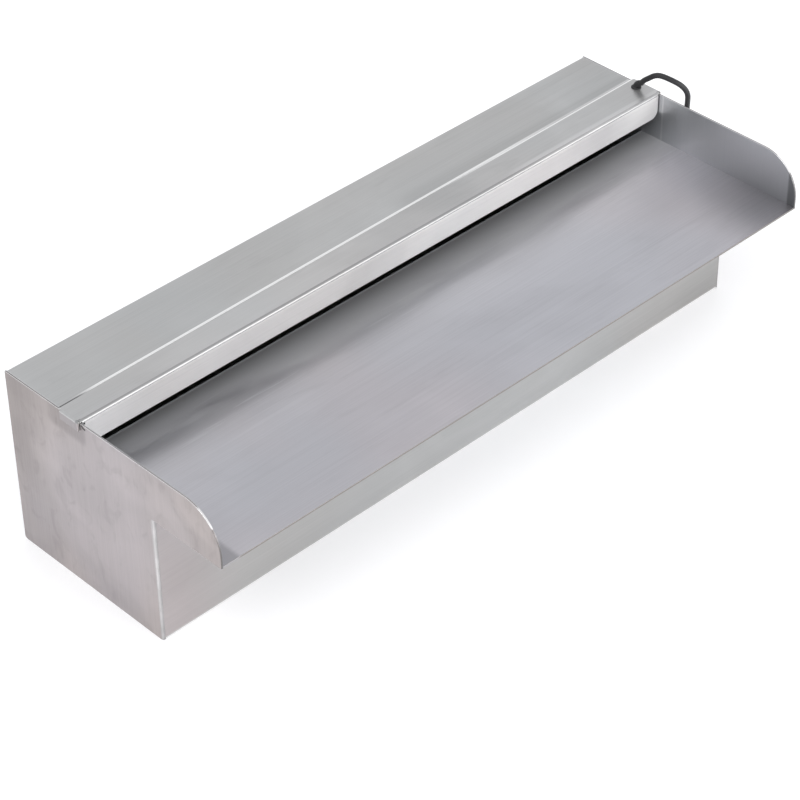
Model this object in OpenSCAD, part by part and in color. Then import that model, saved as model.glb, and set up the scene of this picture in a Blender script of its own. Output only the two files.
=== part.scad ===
// Stainless-steel water blade: a folded and welded tank with a wide spill lip,
// a lift-off light cover with an LED tube inside, and the light's lead.
// X runs along the blade towards the lead, the lip faces -Y, and Z is up.
// The origin is at the middle of the floor that the blade covers, lip and inlet included.

/* [Tank] */
// Length of the blade over its end panels
blade_w = 600; // [560:10:700]
// Depth of the tank from its back wall to its front wall
tank_d = 157; // [154:1:180]
// Height of the tank
tank_h = 155; // [152:1:162]
// Thickness of the tank's steel sheet
sheet_t = 1.5; // [1.2:0.1:2]
// Outside radius of the folds along the bottom
fold_r = 3; // [2.5:0.1:4]
// Outside radius of the fold between the top plate and the back wall
top_fold_r = 2; // [2:0.1:2.5]
// Depth of the top plate at mid-length, from the back wall to the light cover
top_plate_d = 56; // [54:1:58]
// How much deeper the top plate is at its left end than at its right end
seam_skew = 8; // [0:1:8]
// Height of the flange turned down along the top plate's front edge
top_flange_h = 12; // [8:1:14]

/* [Spill tray] */
// Height of the tray floor's upper face
tray_z = 113.5; // [111:0.5:115]
// Reach of the lip in front of the tank
lip_reach = 70; // [60:1:80]
// Radius of the upper front corner of each cheek
cheek_r = 34; // [24:1:35]
// Distance from the back wall to the weir at the rear of the tray floor
weir_from_back = 65.5; // [62:0.5:68]
// Height of the flange turned down at the weir
weir_h = 16; // [12:1:20]

/* [Inlet] */
// Outside diameter of the inlet stub, for a pond hose of that inside diameter
inlet_d = 40; // [32:1:50]
// Wall of the inlet stub
inlet_wall = 1.5; // [1.5:0.1:2]
// Length of the inlet stub behind the back wall
inlet_l = 50; // [40:1:60]
// Height of the inlet's axis
inlet_z = 50; // [40:1:60]
// Width of the weld fillet at the root of the inlet stub
weld_w = 3; // [2:0.5:4]

/* [Baffle] */
// Distance from the back wall to the baffle
baffle_from_back = 34.5; // [30:0.5:38]
// Height of the baffle above the tank's bottom sheet
baffle_h = 92; // [80:1:100]
// Diameter of the holes in the baffle
baffle_hole_d = 8; // [6:1:10]
// Distance between the holes in the baffle
baffle_pitch = 36; // [30:1:40]

/* [Light cover] */
// Thickness of the cover's steel sheet
cover_t = 1.2; // [1:0.1:1.3]
// Depth of the cover at mid-length, from its front face to its rear fold
cover_d = 27; // [27:1:29]
// Height of the cover's front face
cover_h = 22; // [21:0.1:24]
// Outside radius of the fold along the cover's front
cover_fold_r = 2.5; // [2:0.1:2.6]
// Radius of the lower corners of the cover's front face
cover_corner_r = 7; // [5:0.5:8]
// Height of the cover's rear flange
cover_flange_h = 11.5; // [9:0.5:13]
// Height of the tabs that hook over the end panels
tab_h = 8; // [6:0.5:10]
// Gap left all round between the loose cover and the tank
cover_gap = 0.4; // [0.3:0.1:0.5]

/* [Light] */
// Outside diameter of the clear light tube
tube_d = 14; // [13:0.5:14]
// Wall of the light tube
tube_wall = 1.5; // [1:0.1:1.6]
// Left end of the light tube, measured from the blade's middle
tube_left = 270; // [240:1:275]
// Right end of the light tube, measured from the blade's middle
tube_right = 236; // [220:1:240]
// Number of light-emitting chips on the strip
led_count = 32; // [12:1:34]
// Number of clips that hold the tube under the cover
clip_count = 4; // [3:1:6]

/* [Lead] */
// Diameter of the lead
lead_d = 4.5; // [4:0.1:5]
// Lean of the moulded gland's neck towards the lip, in degrees
gland_lean = 41; // [35:1:45]
// Turns in each of the four layers of the coil
coil_turns = 2.25; // [2.25]
// Distance between the turns of the coil, and between its layers
coil_pitch = 4.6; // [4.6:0.1:5]
// Radius of the coil's outermost turn, at the middle of the lead
coil_r = 31.4; // [30:0.1:34]

/* [Hidden] */
$fn = 96;

// Where the tank stands along Y: the part is centred over lip and inlet together
back_y = (lip_reach + tank_d + inlet_l) / 2 - inlet_l;
front_y = back_y - tank_d;
lip_y = front_y - lip_reach;
inner_w = blade_w - 2 * sheet_t;
tray_under = tray_z - sheet_t;
weir_y = back_y - weir_from_back;
baffle_y = back_y - baffle_from_back;
top_edge_y = back_y - top_plate_d;

// Light cover
cover_slack = 1;
cover_rear_y = top_edge_y - cover_slack;
cover_front_y = cover_rear_y - cover_d;
cover_under = tank_h + cover_gap;
cover_top = cover_under + cover_t;
cover_inner_w = inner_w - 4 * cover_gap;
tab_in = blade_w / 2 + cover_gap + 0.1;
tab_r = cover_t + 0.6;
tab_inset = 0.6;

// Light tube, hung under the cover
tube_y = cover_front_y + 13.5;
tube_z = cover_under - 8.4;
tube_r = tube_d / 2;
tube_bore_r = tube_r - tube_wall;
clip_t = 0.8;
clip_w = 10;
strip_t = 1;
strip_w = 8;
strip_z = tube_z + 2.2;
strip_inset = 10;
strip_left = -tube_left + strip_inset;
strip_right = tube_right - strip_inset;
chip = [5, 5, 1.6];
resistor = [3.2, 1.6, 0.6];
wire_r = 0.7;
wire_l = 4;
cap_over = 8;
cap_end = 3;
cap_t = 0.9;
seal_w = 1.4;
seal_t = 1.1;
nose_r = 3.6;
nose_l = 7;

// Moulded gland where the lead leaves the cover
gland_x = blade_w / 2 - 8;
gland_y = cover_rear_y - 8;
gland_flange_r = 4.6;
gland_flange_h = 1.6;
gland_neck_l = 7.5;
gland_hole_r = 3.4;
gland_z = cover_top + 0.6;
neck_dir = [0, -sin(gland_lean), cos(gland_lean)];
lead_start = [gland_x, gland_y, gland_z] + gland_neck_l * neck_dir;

// The lead's route inside the cover, from the tube's cap to the gland
inner_route = [[246, 18, 147], [250, 18, 147], [254, 18, 147], [262, 18.2, 145.6], [270, 18.8, 143],
               [277, 20, 141.4], [283.4, 21.4, 141.4], [288.6, 22.7, 143.2], [291.4, 23.4, 146.6],
               [292, 23.5, 150.2], [292, 23.5, 152], [292, 23.5, 153.8]];

// The lead's route outside: an arch over the right cheek's top, then straight down
lead_r = lead_d / 2;
upper_route = [lead_start, lead_start + 2.5 * neck_dir, lead_start + 5 * neck_dir, [292.3, 11.4, 170],
               [293.7, 6.3, 173.9], [295.2, 0.8, 175.4], [298, -7, 174], [303, -13.2, 169.6], [307.2, -15.6, 163.8],
               [310, -15.6, 157.8], [312.4, -13.9, 150.4], [313.8, -12.6, 144.4], [315, -12, 137], [315, -12, 128],
               [315, -12, 119], [315, -12, 110]];

// Down to the floor, back along the right end panel and round behind the tank
lower_route = [[315, -12, 109.5], [315, -12, 80], [315, -12, 50], [315, -11.6, 30], [315, -10.6, 18],
               [315, -7, 9], [315, 0, 4], [315, 12, 2.3], [315, 40, 2.3], [315, 75, 2.3],
               [315, 105, 2.3], [314.4, 128, 2.3], [309, 144, 2.4], [298, 155, 2.6], [284, 159.2, 2.9],
               [268, 159.4, 3.1], [256, 159.4, 3.1]];

// The coil lies on the floor behind the tank, and its tie goes round it
coil_x = 245;
coil_y = 128;
tie_t = 0.8;
tie_w = 4;
coil_in = coil_r - coil_turns * coil_pitch - coil_pitch / 2;
coil_out = coil_r + coil_pitch / 2;
coil_h = 4 * coil_pitch;
coil_edge_r = 2;

// From the coil's top layer down to the connector
tail_route = [[234, 159.2, 16.4], [222, 158, 13.6], [209, 154, 8.4], [198, 149, 4], [188, 144.6, 3],
              [179, 141.2, 5], [172, 140, 7.6], [169, 140, 8], [167, 140, 8], [165, 140, 8]];

// Connector on the lead's end, lying along X
conn_y = 140;
conn_z = 8;
conn_x = 165;
boot_l = 16;
body_l = 24;
body_r = 6.3;
nut_r = 8;
nut_l = 18;
nut_overlap = 6;
pin_r = 0.8;
pin_l = 8;

// ---- shapes shared by several pieces ----

// Runs a profile drawn as (y, z) along X, w long about the middle
module along_x(w) {
    rotate([90, 0, 90]) translate([0, 0, -w / 2]) linear_extrude(w) children();
}

// Turns +Z to +X at a point, for round pieces that lie along X
module lying_x(p) {
    translate(p) rotate([0, 90, 0]) children();
}

// A flat stretch of a folded sheet's profile, between two corners
module flat(low, high) {
    translate(low) square(high - low);
}

// A fold in a sheet's profile: a quarter ring about a point
module fold(centre, r, t, turn) {
    translate(centre) rotate(turn) intersection() {
        difference() {
            circle(r);
            circle(r - t);
        }
        square(r);
    }
}

// The outline of the tank's ends, with round bottom corners
module tank_outline() {
    flat([front_y, fold_r], [back_y, tank_h]);
    flat([front_y + fold_r, 0], [back_y - fold_r, fold_r]);
    for (y = [front_y + fold_r, back_y - fold_r]) translate([y, fold_r]) circle(fold_r);
}

// Where a skewed edge ends, at the left and at the right of a sheet w long, shifted along Y from the seam
function seam(w, shift) = [for (x = [-w / 2, w / 2]) top_edge_y + x * seam_skew / blade_w + shift];

// A plate w long between two edges, each given by its Y at the left and at the right, from low to high
module plate(w, front, rear, low, high) {
    translate([0, 0, low]) linear_extrude(high - low)
        polygon([[-w / 2, front[0]], [w / 2, front[1]], [w / 2, rear[1]], [-w / 2, rear[0]]]);
}

// ---- tank ----

// One folded sheet: top plate with its flange, back wall, bottom and front wall
module tank_shell() {
    t = sheet_t;
    r = fold_r;
    tr = top_fold_r;
    color("#b3b2b2") difference() {
        union() {
            plate(inner_w, seam(inner_w, 0), seam(inner_w, t), tank_h - top_flange_h, tank_h);
            plate(inner_w, seam(inner_w, 0), [back_y - tr, back_y - tr], tank_h - t, tank_h);
            along_x(inner_w) {
                fold([back_y - tr, tank_h - tr], tr, t, 0);
                flat([back_y - t, r], [back_y, tank_h - tr]);
                fold([back_y - r, r], r, t, 270);
                flat([front_y + r, 0], [back_y - r, t]);
                fold([front_y + r, r], r, t, 180);
                flat([front_y, r], [front_y + t, tray_under]);
            }
        }
        translate([0, back_y + 1, inlet_z]) rotate([90, 0, 0]) cylinder(h = t + 2, r = inlet_d / 2 - inlet_wall);
    }
}

// Flat end panel: the tank's end and the tray's cheek in one sheet
module end_panel() {
    color("#b9b5b4") along_x(sheet_t) {
        intersection() {
            tank_outline();
            flat([front_y + sheet_t, 0], [back_y, tank_h]);
        }
        flat([lip_y, tray_under], [front_y + sheet_t, tank_h - cheek_r]);
        flat([lip_y + cheek_r, tank_h - cheek_r], [front_y + sheet_t, tank_h]);
        translate([lip_y + cheek_r, tank_h - cheek_r]) intersection() {
            circle(cheek_r);
            translate([-cheek_r, 0]) square(cheek_r);
        }
    }
}

module left_end_panel() {
    translate([-(blade_w - sheet_t) / 2, 0, 0]) end_panel();
}

module right_end_panel() {
    translate([(blade_w - sheet_t) / 2, 0, 0]) end_panel();
}

// Tray floor: a plain edge at the lip, and turned down at the weir
module spill_floor() {
    t = sheet_t;
    r = fold_r;
    color("#aeb0b6") along_x(inner_w) {
        flat([lip_y, tray_under], [weir_y - r, tray_z]);
        fold([weir_y - r, tray_z - r], r, t, 0);
        flat([weir_y - t, tray_z - weir_h], [weir_y, tray_z - r]);
    }
}

// Ground weld beads that fill the two front corners of the tank
module corner_welds() {
    color("#d8d4d3") for (side = [-1, 1]) intersection() {
        translate([side * inner_w / 2, front_y + sheet_t, 0]) cylinder(h = tray_under, r = sheet_t);
        translate([side == 1 ? inner_w / 2 : -blade_w / 2, front_y, 0]) cube([sheet_t, sheet_t, tank_h]);
        along_x(blade_w) tank_outline();
    }
}

// Pipe stub for the hose, with the weld fillet that joins it to the back wall
module inlet_stub() {
    r = inlet_d / 2;
    color("#b0afae") translate([0, back_y, inlet_z]) rotate([-90, 0, 0]) rotate_extrude()
        polygon([[r - inlet_wall, 0], [r + weld_w, 0], [r, weld_w], [r, inlet_l], [r - inlet_wall, inlet_l]]);
}

// Upright sheet with two rows of holes that calms the water coming in
module baffle_plate() {
    columns = floor((inner_w / 2 - 20) / baffle_pitch);
    color("#a6a7a9") difference() {
        translate([-inner_w / 2, baffle_y, sheet_t]) cube([inner_w, sheet_t, baffle_h]);
        for (i = [-columns:columns], z = [26, 58])
            translate([i * baffle_pitch, baffle_y - 1, z]) rotate([-90, 0, 0])
                cylinder(h = sheet_t + 2, d = baffle_hole_d);
    }
}

// Three small angles that fix the baffle to the bottom sheet
module baffle_brackets() {
    leg = 12;
    color("#9d9d9f") for (x = [-200, 0, 200]) translate([x, 0, 0]) along_x(20) {
        flat([baffle_y - leg, sheet_t], [baffle_y - fold_r, 2 * sheet_t]);
        fold([baffle_y - fold_r, sheet_t + fold_r], fold_r, sheet_t, 270);
        flat([baffle_y - sheet_t, sheet_t + fold_r], [baffle_y, sheet_t + leg]);
    }
}

// ---- light cover, which lifts off ----

// Folded channel over the slot, with a tab that hooks over each end panel
module light_cover() {
    t = cover_t;
    r = cover_fold_r;
    low = cover_top - cover_h;
    notch_x = cover_inner_w / 2;
    fold_w = 2 * (tab_in + t - tab_r);
    fold_y = cover_front_y + r;
    color("#c6c6c7") difference() {
        union() {
            along_x(fold_w) {
                flat([cover_front_y, low], [cover_front_y + t, cover_top - r]);
                fold([fold_y, cover_top - r], r, t, 90);
            }
            plate(fold_w, [fold_y, fold_y], seam(fold_w, -cover_slack), cover_under, cover_top);
            plate(fold_w, seam(fold_w, -cover_slack - t), seam(fold_w, -cover_slack),
                  cover_top - cover_flange_h, cover_top);
            end_tab(cover_d - r - tab_inset + seam_skew / 2);
            mirror([1, 0, 0]) end_tab(cover_d - r - tab_inset - seam_skew / 2);
        }
        // clear of the end panels below the top sheet
        for (side = [0, 1]) mirror([side, 0, 0])
            translate([notch_x, cover_front_y - 1, low - 1])
                cube([tab_in - notch_x, cover_d + seam_skew, cover_under - low + 1]);
        // round lower corners of the front face
        for (side = [0, 1]) mirror([side, 0, 0])
            translate([notch_x - cover_corner_r, cover_front_y + t + 1, low + cover_corner_r])
                rotate([90, 0, 0]) difference() {
                    translate([0, -cover_corner_r - 1, 0]) cube([cover_corner_r + 1, cover_corner_r + 1, t + 2]);
                    translate([0, 0, -1]) cylinder(h = t + 4, r = cover_corner_r);
                }
        translate([gland_x, gland_y, cover_under - 1]) cylinder(h = t + 2, r = gland_hole_r);
    }
}

// The fold and the tab beyond the right end panel, w wide
module end_tab(w) {
    y = cover_front_y + tab_inset;
    fold_x = tab_in + cover_t - tab_r;
    translate([0, y + w, 0]) rotate([90, 0, 0]) linear_extrude(w) {
        fold([fold_x, cover_top - tab_r], tab_r, cover_t, 0);
        flat([tab_in, cover_top - tab_h], [tab_in + cover_t, cover_top - tab_r]);
    }
}

// Clear tube that keeps the water off the light strip
module light_tube() {
    color("#dfe6ea", 0.5) lying_x([-tube_left, tube_y, tube_z]) difference() {
        cylinder(h = tube_left + tube_right, r = tube_r);
        translate([0, 0, -1]) cylinder(h = tube_left + tube_right + 2, r = tube_bore_r);
    }
}

// Cap over a tube end, with a plug inside that carries the seal; drawn from the tube's end outwards
module tube_cap() {
    plug_r = tube_bore_r;
    groove_r = plug_r - seal_t;
    groove_low = -cap_over + 2;
    rotate_extrude() polygon([
        [0, cap_end], [tube_r + cap_t, cap_end], [tube_r + cap_t, -cap_over], [tube_r, -cap_over], [tube_r, 0],
        [plug_r, 0], [plug_r, groove_low + seal_w], [groove_r, groove_low + seal_w], [groove_r, groove_low],
        [plug_r, groove_low], [plug_r, -cap_over], [0, -cap_over]
    ]);
}

module left_tube_cap() {
    color("#26282a") translate([-tube_left, tube_y, tube_z]) rotate([0, -90, 0]) tube_cap();
}

// The right cap also has the nose that the lead goes into
module right_tube_cap() {
    color("#26282a") lying_x([tube_right, tube_y, tube_z]) {
        tube_cap();
        translate([0, 0, cap_end]) cylinder(h = nose_l, r1 = nose_r, r2 = lead_r + 0.5);
    }
}

// Square rings in the caps' grooves
module cap_seals() {
    color("#8a3b2e") for (x = [-tube_left + cap_over - 2 - seal_w, tube_right - cap_over + 2])
        lying_x([x, tube_y, tube_z]) difference() {
            cylinder(h = seal_w, r = tube_bore_r);
            translate([0, 0, -1]) cylinder(h = seal_w + 2, r = tube_bore_r - seal_t);
        }
}

// Flexible circuit strip inside the tube, chips facing down
module led_strip() {
    color("#e9e7df") translate([strip_left, tube_y - strip_w / 2, strip_z])
        cube([strip_right - strip_left, strip_w, strip_t]);
}

module led_chips() {
    step = (strip_right - strip_left) / led_count;
    color("#efe3a4") for (i = [0:led_count - 1])
        translate([strip_left + (i + 0.5) * step - chip.x / 2, tube_y - chip.y / 2, strip_z - chip.z]) cube(chip);
}

// One small resistor between each pair of chips
module led_resistors() {
    step = (strip_right - strip_left) / led_count;
    color("#2b2b2b") for (i = [1:led_count - 1])
        translate([strip_left + i * step - resistor.x / 2, tube_y - resistor.y / 2, strip_z - resistor.z])
            cube(resistor);
}

// The lead's two cores, soldered to the strip's underside and led to the cap
module solder_wires() {
    color("#b5322c") for (y = [-1.6, 1.6])
        lying_x([strip_right - wire_l, tube_y + y, strip_z - wire_r])
            cylinder(h = tube_right - cap_over - strip_right + wire_l, r = wire_r);
}

// Spring clips welded under the cover, open at the bottom
module tube_clips() {
    span = tube_left + tube_right - 60;
    color("#a9abad") for (i = [0:clip_count - 1])
        translate([-tube_left + 30 + i * span / (clip_count - 1), tube_y, tube_z]) along_x(clip_w) difference() {
            union() {
                circle(tube_r + clip_t);
                flat([-4, 0], [4, cover_under - tube_z]);
            }
            circle(tube_r);
            flat([-tube_r - 1, -tube_r - 1], [tube_r + 1, -4.5]);
        }
}

// ---- the light's lead ----

// Moulded rubber gland: a flange on each side of the cover, and a neck that leans with the lead
module lead_gland() {
    color("#2a2b2d") {
        difference() {
            union() {
                translate([gland_x, gland_y, cover_under - 1.6]) cylinder(h = 1.6, r = gland_flange_r);
                translate([gland_x, gland_y, cover_under - 0.5]) cylinder(h = cover_t + 1, r = gland_hole_r);
                translate([gland_x, gland_y, cover_top])
                    cylinder(h = gland_flange_h, r1 = gland_flange_r, r2 = gland_flange_r - 1);
                translate([gland_x, gland_y, gland_z]) rotate([gland_lean, 0, 0])
                    cylinder(h = gland_neck_l, r1 = 3, r2 = lead_r + 0.35);
            }
            translate([gland_x, gland_y, cover_under - 2.6]) cylinder(h = 1.001, r = gland_flange_r + 1);
        }
    }
}

// Catmull-Rom curve between b and c
function curve(a, b, c, d, s) =
    0.5 * (2 * b + (c - a) * s + (2 * a - 5 * b + 4 * c - d) * s * s + (3 * b - a - 3 * c + d) * s * s * s);

// The route with n steps between each pair of its points
function smooth(route, n) = [
    for (i = [0:len(route) - 2], k = [0:n - 1])
        curve(route[max(i - 1, 0)], route[i], route[i + 1], route[min(i + 2, len(route) - 1)], k / n),
    route[len(route) - 1]
];

function unit(v) = v / norm(v);

// A tube along a line of points, closed at both ends; no stretch of a route runs along side
module swept_tube(line, r, sides, side = [0.6, 0, 0.8]) {
    last = len(line) - 1;
    points = [
        for (i = [0:last])
            let (along = unit(line[min(i + 1, last)] - line[max(i - 1, 0)]),
                 across = unit(cross(along, side)),
                 up = cross(along, across))
                for (k = [0:sides - 1])
                    line[i] + r * (cos(360 * k / sides) * across + sin(360 * k / sides) * up)
    ];
    walls = [
        for (i = [0:last - 1], k = [0:sides - 1])
            let (next = (k + 1) % sides)
                [i * sides + k, i * sides + next, (i + 1) * sides + next, (i + 1) * sides + k]
    ];
    polyhedron(points, concat(walls, [[for (k = [sides - 1:-1:0]) k], [for (k = [0:sides - 1]) last * sides + k]]),
               convexity = 10);
}

module inner_lead() {
    color("#1f2022") swept_tube(smooth(inner_route, 2), lead_r, 8);
}

module lead_upper() {
    color("#1f2022") swept_tube(smooth(upper_route, 2), lead_r, 8);
}

module lead_lower() {
    color("#1f2022") swept_tube(smooth(lower_route, 1), lead_r, 8);
}

module lead_tail() {
    color("#1f2022") swept_tube(smooth(tail_route, 2), lead_r, 8);
}

// The outer shape of the wound lead: four layers high
module lead_coil() {
    e = coil_edge_r;
    color("#1f2022") translate([coil_x, coil_y, tie_t]) rotate_extrude() {
        flat([coil_in, e], [coil_out, coil_h - e]);
        flat([coil_in + e, 0], [coil_out - e, coil_h]);
        for (r = [coil_in + e, coil_out - e], z = [e, coil_h - e]) translate([r, z]) circle(e);
    }
}

// Strap round the coil's bundle, with its head on top
module coil_tie() {
    slack = 0.1;
    low = [coil_in - slack, -tie_w / 2, tie_t];
    high = [coil_out + slack, tie_w / 2, tie_t + coil_h + slack];
    color("#e4e4e0") translate([coil_x, coil_y, 0]) rotate(-40) {
        difference() {
            translate([low.x - tie_t, low.y, 0]) cube([high.x - low.x + 2 * tie_t, tie_w, high.z + tie_t]);
            translate([low.x, low.y - 1, low.z - 0.001]) cube([high.x - low.x, tie_w + 2, high.z - low.z + 0.001]);
        }
        translate([high.x - 9, -tie_w / 2 - 0.8, high.z + tie_t]) cube([6, tie_w + 1.6, 3]);
    }
}

// Tapered boot where the lead enters the connector; it points along -X
module connector_boot() {
    color("#1c1d1f") translate([conn_x, conn_y, conn_z]) rotate([0, -90, 0])
        cylinder(h = boot_l, r1 = lead_r + 0.6, r2 = body_r - 1);
}

module connector_body() {
    color("#1c1d1f") translate([conn_x - boot_l, conn_y, conn_z]) rotate([0, -90, 0])
        cylinder(h = body_l, r = body_r);
}

// Coupling nut, loose round the front of the connector's body
module connector_nut() {
    ribs = 24;
    clear = 0.15;
    color("#242628") translate([conn_x - boot_l - body_l + nut_overlap, conn_y, conn_z]) rotate([0, -90, 0]) difference() {
        cylinder(h = nut_l, r = nut_r);
        translate([0, 0, -1]) cylinder(h = nut_l + 2, r = body_r + clear);
        for (i = [0:ribs - 1]) rotate((i + 0.5) * 360 / ribs) translate([nut_r + 0.3, 0, -1])
            cylinder(h = nut_l + 2, r = 0.7);
    }
}

module connector_pins() {
    color("#c9a55a") for (y = [-2, 2])
        translate([conn_x - boot_l - body_l, conn_y + y, conn_z]) rotate([0, -90, 0])
            cylinder(h = pin_l, r = pin_r);
}

tank_shell();
left_end_panel();
right_end_panel();
spill_floor();
corner_welds();
inlet_stub();
baffle_plate();
baffle_brackets();
light_cover();
light_tube();
left_tube_cap();
right_tube_cap();
cap_seals();
led_strip();
led_chips();
led_resistors();
solder_wires();
tube_clips();
lead_gland();
inner_lead();
lead_upper();
lead_lower();
lead_coil();
coil_tie();
lead_tail();
connector_boot();
connector_body();
connector_nut();
connector_pins();
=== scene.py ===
"""Stainless-steel water blade with a light under its cover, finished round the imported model.

Lengths are in metres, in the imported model's frame: X runs along the blade towards the lead, the lip faces -Y.
"""
import math

import bmesh
import bpy
from mathutils import Matrix, Quaternion, Vector


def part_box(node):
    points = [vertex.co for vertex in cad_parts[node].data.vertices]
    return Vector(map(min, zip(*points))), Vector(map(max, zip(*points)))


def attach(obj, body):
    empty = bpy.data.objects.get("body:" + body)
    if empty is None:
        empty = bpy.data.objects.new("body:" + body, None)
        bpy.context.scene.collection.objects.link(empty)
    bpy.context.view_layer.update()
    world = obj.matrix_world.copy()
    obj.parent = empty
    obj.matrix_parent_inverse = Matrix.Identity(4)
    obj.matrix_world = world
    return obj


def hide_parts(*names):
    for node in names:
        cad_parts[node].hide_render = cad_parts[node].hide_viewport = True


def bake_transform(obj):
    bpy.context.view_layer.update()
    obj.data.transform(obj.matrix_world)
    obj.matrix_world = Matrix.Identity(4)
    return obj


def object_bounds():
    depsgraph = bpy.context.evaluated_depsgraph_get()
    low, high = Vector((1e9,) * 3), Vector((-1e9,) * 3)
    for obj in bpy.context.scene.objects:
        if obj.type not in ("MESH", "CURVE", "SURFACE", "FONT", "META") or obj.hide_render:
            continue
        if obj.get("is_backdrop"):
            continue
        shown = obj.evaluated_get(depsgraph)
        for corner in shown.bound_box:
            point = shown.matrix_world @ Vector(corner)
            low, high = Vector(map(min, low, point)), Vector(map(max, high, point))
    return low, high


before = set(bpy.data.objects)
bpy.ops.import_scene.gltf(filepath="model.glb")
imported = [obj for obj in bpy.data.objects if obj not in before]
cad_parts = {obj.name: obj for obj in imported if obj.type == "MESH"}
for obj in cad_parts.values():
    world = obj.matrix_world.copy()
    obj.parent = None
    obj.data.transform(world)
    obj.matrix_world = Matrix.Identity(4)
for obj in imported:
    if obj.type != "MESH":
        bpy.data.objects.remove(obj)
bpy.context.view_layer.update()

scene = bpy.context.scene
MM = 0.001


# ---- camera ----
# A long lens looks down on the blade from its front left, and leans by less than a degree.

camera_azimuth = math.radians(-43.957)
camera_elevation = math.radians(38.251)
camera_lean = math.radians(-0.684)
camera_aim = Vector((-0.0295, -0.0306, 0.0443))
camera_distance = 2.0284

towards_camera = Vector((
    math.sin(camera_azimuth) * math.cos(camera_elevation),
    -math.cos(camera_azimuth) * math.cos(camera_elevation),
    math.sin(camera_elevation),
))
camera_data = bpy.data.cameras.new("camera")
camera_data.sensor_width = 36
camera_data.lens = 120.56
camera_data.clip_start = 0.1
camera_data.clip_end = 60
camera = bpy.data.objects.new("camera", camera_data)
camera.rotation_mode = "QUATERNION"
camera.location = camera_aim + camera_distance * towards_camera
camera.rotation_quaternion = (-towards_camera).to_track_quat("-Z", "Y") @ Quaternion((0, 0, 1), camera_lean)
scene.collection.objects.link(camera)
scene.camera = camera


# ---- lead ----
# Two thin cores in a soft black sheath, one length from the light to its connector. It arches over the right
# cheek, drops to the floor, runs back along the tank's end and lies in a neat coil behind it.

lead_d = 4.5 * MM
lead_sides = 24
lead_r = 1.01 * lead_d / 2    # a little over, for the flat sides of the round
lead_rest = lead_d / 2 + 0.05 * MM
gland_foot = Vector((292, 23.5, 157.2)) * MM
gland_lean = math.radians(41)
gland_neck = 7.5 * MM
neck_dir = Vector((0, -math.sin(gland_lean), math.cos(gland_lean)))
lead_start = gland_foot + gland_neck * neck_dir

upper_route = [
    (292.3, 11.4, 170), (293.7, 6.3, 173.9), (295.2, 0.8, 175.4), (298, -7, 174), (303, -13.2, 169.6),
    (307.2, -15.6, 163.8), (310, -15.6, 157.8), (312.4, -13.9, 150.4), (313.8, -12.6, 144.4), (315, -12, 137),
    (315, -12, 128), (315, -12, 119), (315, -12, 110),
]
lower_route = [
    (315, -12, 80), (315, -12, 50), (315, -11.6, 30), (315, -10.6, 18), (315, -7, 9), (315, 0, 4),
    (315, 12, 2.3), (315, 40, 2.3), (315, 75, 2.3), (315, 105, 2.3), (314.4, 128, 2.3), (309, 144, 2.4),
    (298, 155, 2.6), (284, 159.2, 2.9), (268, 159.4, 3.1), (256, 159.4, 3.1),
]
tail_route = [
    (234, 159.2, 16.4), (222, 158, 13.6), (209, 154, 8.4), (198, 149, 4), (188, 144.6, 3), (179, 141.2, 5),
    (172, 140, 7.6), (169, 140, 8), (167, 140, 8), (165, 140, 8),
]
coil_centre = Vector((245, 128, 0)) * MM
coil_layers = 4
coil_turns = 2.25
coil_pitch = 4.6 * MM
coil_r = 31.4 * MM
coil_floor = 3.1 * MM
coil_start = 0.25
points_per_turn = 24
climb_turns = 0.2
steps_per_point = 6


def coil_points():
    """The lead's centre line in the coil: in and out again, layer on layer, with a short climb to each."""
    steps = round(coil_layers * coil_turns * points_per_turn)
    made = []
    for i in range(steps + 1):
        turn = i / points_per_turn
        layer = min(int(turn / coil_turns), coil_layers - 1)
        inward = turn - layer * coil_turns if layer % 2 == 0 else (layer + 1) * coil_turns - turn
        left = (layer + 1) * coil_turns - turn
        climb = max(0.0, 1 - left / climb_turns) if layer < coil_layers - 1 else 0.0
        climb = climb * climb * (3 - 2 * climb)
        radius = coil_r - coil_pitch * inward
        angle = math.tau * (turn + coil_start)
        height = coil_floor + coil_pitch * (layer + climb)
        made.append(coil_centre + Vector((radius * math.cos(angle), radius * math.sin(angle), height)))
    return made


def smooth(route, steps):
    """Catmull-Rom curve through the route's points, with steps between each pair."""
    made = []
    last = len(route) - 1
    for i in range(last):
        a, b, c, d = route[max(i - 1, 0)], route[i], route[i + 1], route[min(i + 2, last)]
        for k in range(steps):
            s = k / steps
            made.append(0.5 * (2 * b + (c - a) * s + (2 * a - 5 * b + 4 * c - d) * s * s
                               + (3 * b - a - 3 * c + d) * s ** 3))
    return made + [route[last]]


loose = [lead_start + past * MM * neck_dir for past in (0, 2.5, 5)]
loose += [Vector(p) * MM for p in upper_route + lower_route]
coil = coil_points()
tail = [Vector(p) * MM for p in tail_route]
into_coil = smooth(loose + [coil[0]], steps_per_point)
out_of_coil = smooth([coil[-1]] + tail, steps_per_point)
lead_line = into_coil[:-1] + coil + out_of_coil[1:]
for point in lead_line:
    point.z = max(point.z, lead_rest)


def add_piece(name, mesh):
    """A new object of the blade, at the origin."""
    made = bpy.data.objects.new(name, mesh)
    scene.collection.objects.link(made)
    return made


def finish_stack(piece):
    """Applies a piece's modifiers, or makes a curve a mesh, and puts its place into the mesh."""
    bpy.context.view_layer.update()
    name, old = piece.name, piece.data
    evaluated = piece.evaluated_get(bpy.context.evaluated_depsgraph_get())
    mesh = bpy.data.meshes.new_from_object(evaluated)
    mesh.transform(piece.matrix_world)
    bpy.data.objects.remove(piece)
    (bpy.data.curves if isinstance(old, bpy.types.Curve) else bpy.data.meshes).remove(old)
    made = add_piece(name, mesh)
    mesh.name = name
    return made


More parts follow.
